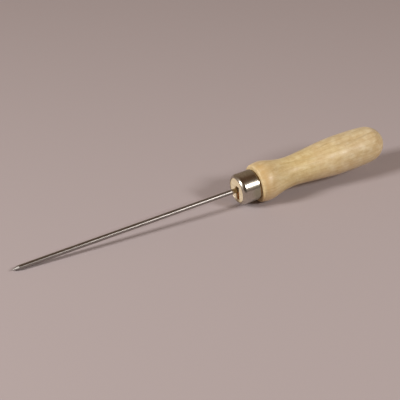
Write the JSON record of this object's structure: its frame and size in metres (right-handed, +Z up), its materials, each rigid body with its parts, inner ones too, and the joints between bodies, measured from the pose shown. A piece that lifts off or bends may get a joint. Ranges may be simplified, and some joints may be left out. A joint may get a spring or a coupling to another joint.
{
  "type": "scratch awl",
  "caption": "Scratch awl: slim round steel spike with a short ground point, plated ferrule with a rounded front, and a turned pale hardwood handle with a waist and a palm bulb.",
  "frame": {"origin": "middle of the underside of the bounding box, with the awl laid down so that the wire beside the point and the shoulder behind the ferrule touch z = 0", "axes": "+Z up; the awl's own axis lies in the XZ plane, its point towards -X and its butt towards +X, rising 3.86 degrees towards the butt; +Y is across it"},
  "size_m": [0.229, 0.0226, 0.026],
  "materials": {
    "blade_steel": "drawn steel wire with fine lengthwise marks, ground bright at the point",
    "ferrule_plate": "nickel-plated drawn steel, polished, with fine handling marks",
    "handle_wood": "pale turned hardwood with a thin satin clear coat"
  },
  "bodies": {
    "root": {"blade": "blade_steel", "ferrule": "ferrule_plate", "handle": "handle_wood"}
  },
  "joints": []
}
